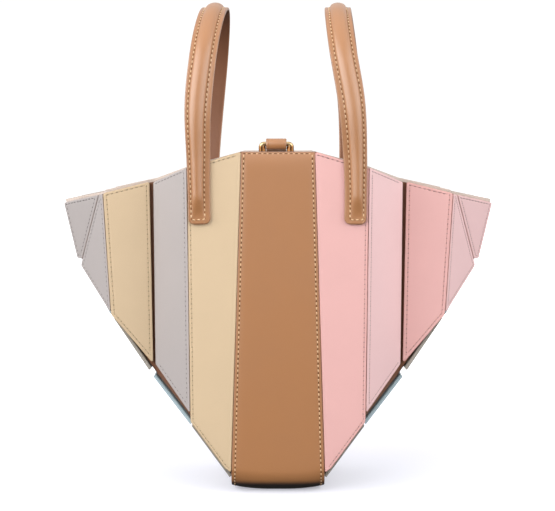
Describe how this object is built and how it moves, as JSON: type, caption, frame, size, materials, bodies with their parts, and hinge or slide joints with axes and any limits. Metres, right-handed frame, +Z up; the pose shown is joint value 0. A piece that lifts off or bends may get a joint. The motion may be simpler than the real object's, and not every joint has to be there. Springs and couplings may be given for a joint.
{
  "type": "tote bag",
  "caption": "Structured tote bag of folded leather panels, wide at the rim and narrow at the base, with a strip under the base, rolled strap handles and a ring closure.",
  "frame": {"origin": "middle of the base, on the plane that the bag stands on", "axes": "+Z up, +X to the right seen from the front, the front faces -Y"},
  "size_m": [0.3848, 0.1553, 0.4298],
  "materials": {
    "tan_leather": "smooth tan calf leather, fine grain, soft sheen",
    "brown_leather": "deep brown leather of the folded body, fine grain, matt",
    "lining": "pale napped lining, matt",
    "cream_leather": "smooth cream leather, fine grain",
    "grey_leather": "smooth warm grey leather, fine grain",
    "pink_leather": "smooth pink leather, fine grain",
    "pale_pink_leather": "smooth pale pink leather, fine grain",
    "sage_leather": "smooth sage grey leather, fine grain",
    "blue_leather": "smooth pale blue leather, fine grain",
    "gold_metal": "polished gold-plated metal"
  },
  "bodies": {
    "root": {"body_shell": "brown_leather", "body_lining": "lining", "centre_strip": "tan_leather", "front_left_main": "cream_leather", "front_left_fold": "grey_leather", "front_left_outer": "cream_leather", "front_left_wing": "grey_leather", "front_left_corner": "grey_leather", "front_right_main": "pink_leather", "front_right_fold": "pale_pink_leather", "front_right_outer": "pink_leather", "front_right_wing": "pale_pink_leather", "front_right_corner": "pale_pink_leather", "back_left_main": "cream_leather", "back_left_fold": "grey_leather", "back_left_outer": "cream_leather", "back_left_wing": "grey_leather", "back_left_corner": "grey_leather", "back_right_main": "pink_leather", "back_right_fold": "pale_pink_leather", "back_right_outer": "pink_leather", "back_right_wing": "pale_pink_leather", "back_right_corner": "pale_pink_leather", "under_left_base": "sage_leather", "under_left_fold": "blue_leather", "under_left_outer": "sage_leather", "under_left_wing": "blue_leather", "under_right_base": "sage_leather", "under_right_fold": "blue_leather", "under_right_outer": "sage_leather", "under_right_wing": "blue_leather", "handle_left": "tan_leather", "handle_right": "tan_leather", "closure_ring": "gold_metal", "closure_strap": "tan_leather", "closure_hook": "gold_metal"}
  },
  "joints": []
}
